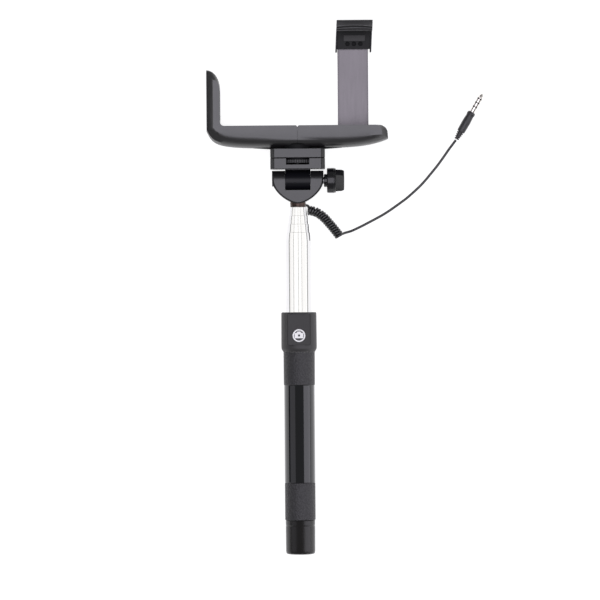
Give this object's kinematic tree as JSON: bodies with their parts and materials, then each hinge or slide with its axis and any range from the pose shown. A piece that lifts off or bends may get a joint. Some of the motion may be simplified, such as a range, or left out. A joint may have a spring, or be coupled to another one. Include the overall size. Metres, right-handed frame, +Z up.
{
  "type": "selfie stick",
  "caption": "Telescopic pole with a shutter button in the handle, a tilting head and a spring-loaded phone holder, wired to the phone by a curly cord.",
  "frame": {"origin": "on the table under the middle of the object without its cord, between the holder's hook and the handle's end cap", "axes": "+X across the pole to the side of the tightening knob, +Y along the pole towards the phone holder, +Z up from the table through the side with the shutter button"},
  "size_m": [0.1942, 0.3734, 0.025],
  "materials": {
    "cap_plastic": "matte moulded",
    "chrome": "polished",
    "black_plastic": "matte moulded",
    "grip_rubber": "fine texture",
    "gloss_black": "high gloss",
    "housing_plastic": "satin matte",
    "board": "solder mask",
    "steel": "satin",
    "button_plastic": "satin with a printed icon",
    "nylon": "natural",
    "cord": "satin",
    "bronze": "dark anodised",
    "head_plastic": "satin",
    "knob_plastic": "semi-gloss",
    "brass": "machined",
    "holder_plastic": "satin soft-touch",
    "pad_rubber": "matte",
    "tape_steel": "satin",
    "plug_plastic": "satin",
    "plug_metal": "polished nickel"
  },
  "bodies": {
    "handle": {"end_cap": "cap_plastic", "outer_tube": "chrome", "grip_core": "black_plastic", "lower_grip": "grip_rubber", "gloss_sleeve": "gloss_black", "upper_grip": "grip_rubber", "switch_housing": "housing_plastic", "switch_cover": "housing_plastic", "circuit_board": "board", "tact_switch": "steel"},
    "shutter": {"shutter_button": "button_plastic"},
    "tube_1": {"tube_1": "chrome", "bush_1": "nylon"},
    "tube_2": {"tube_2": "chrome", "bush_2": "nylon"},
    "tube_3": {"tube_3": "chrome", "bush_3": "nylon"},
    "post": {"tube_4": "chrome", "bush_4": "nylon", "inner_lead": "cord", "collar": "bronze", "yoke": "head_plastic", "clamp_nut": "steel", "cord_gland": "cord", "cord_coil": "cord", "cord_lead": "cord", "plug_relief": "plug_plastic", "plug_body": "plug_plastic", "plug_pin": "plug_metal", "plug_rings": "black_plastic"},
    "knob": {"knob": "knob_plastic", "clamp_bolt": "steel", "knob_washer": "gloss_black"},
    "tilt_block": {"tilt_block": "head_plastic"},
    "wheel": {"thumbwheel": "knob_plastic", "mount_screw": "steel"},
    "holder": {"foot": "head_plastic", "insert_nut": "brass", "holder_left": "holder_plastic", "holder_right": "holder_plastic", "left_back_cover": "black_plastic", "right_back_cover": "black_plastic", "cover_screws": "steel", "shelf_pads": "pad_rubber", "arm_pad": "pad_rubber", "drum_axle": "steel"},
    "drum": {"tape_drum": "nylon", "tape_roll": "tape_steel"},
    "hook": {"hook": "holder_plastic", "hook_pad": "pad_rubber", "hook_rivets": "steel", "hook_plate": "steel", "spring_tape": "tape_steel"}
  },
  "joints": [
    {"name": "tube_1_slide", "type": "slide", "parent": "handle", "child": "tube_1", "axis": [0, 1, 0], "range_m": [0, 0.165]},
    {"name": "tube_2_slide", "type": "slide", "parent": "tube_1", "child": "tube_2", "axis": [0, 1, 0], "range_m": [0, 0.165]},
    {"name": "tube_3_slide", "type": "slide", "parent": "tube_2", "child": "tube_3", "axis": [0, 1, 0], "range_m": [0, 0.165]},
    {"name": "tube_4_slide", "type": "slide", "parent": "tube_3", "child": "post", "axis": [0, 1, 0], "range_m": [0, 0.165]},
    {"name": "shutter_press", "type": "slide", "parent": "handle", "child": "shutter", "axis": [0, 0, -1], "range_m": [0, 0.0003], "stiffness_N_per_m": 900, "springref_m": -0.001},
    {"name": "head_tilt", "type": "hinge", "parent": "post", "child": "tilt_block", "pos_m": [0, 0.075, 0.0124], "axis": [1, 0, 0], "range_deg": [-90, 90]},
    {"name": "knob_turn", "type": "hinge", "parent": "post", "child": "knob", "pos_m": [0.026, 0.075, 0.0124], "axis": [1, 0, 0], "range_deg": [0, 360]},
    {"name": "holder_swivel", "type": "hinge", "parent": "tilt_block", "child": "holder", "pos_m": [0, 0.0908, 0.0124], "axis": [0, 1, 0], "range_deg": [-180, 180]},
    {"name": "wheel_turn", "type": "hinge", "parent": "tilt_block", "child": "wheel", "pos_m": [0, 0.0883, 0.0124], "axis": [0, 1, 0], "range_deg": [0, 360]},
    {"name": "hook_pull", "type": "slide", "parent": "holder", "child": "hook", "axis": [0, 1, 0], "range_m": [0, 0.02], "stiffness_N_per_m": 20, "springref_m": -0.2, "deforming": ["spring_tape"]},
    {"name": "drum_turn", "type": "hinge", "parent": "holder", "child": "drum", "pos_m": [0.0392, 0.1045, 0.0079], "axis": [1, 0, 0], "range_deg": [0, 350]}
  ],
  "couplings": [
    {"joint": "drum_turn", "follows": "hook_pull", "rad_per_m": 300}
  ]
}
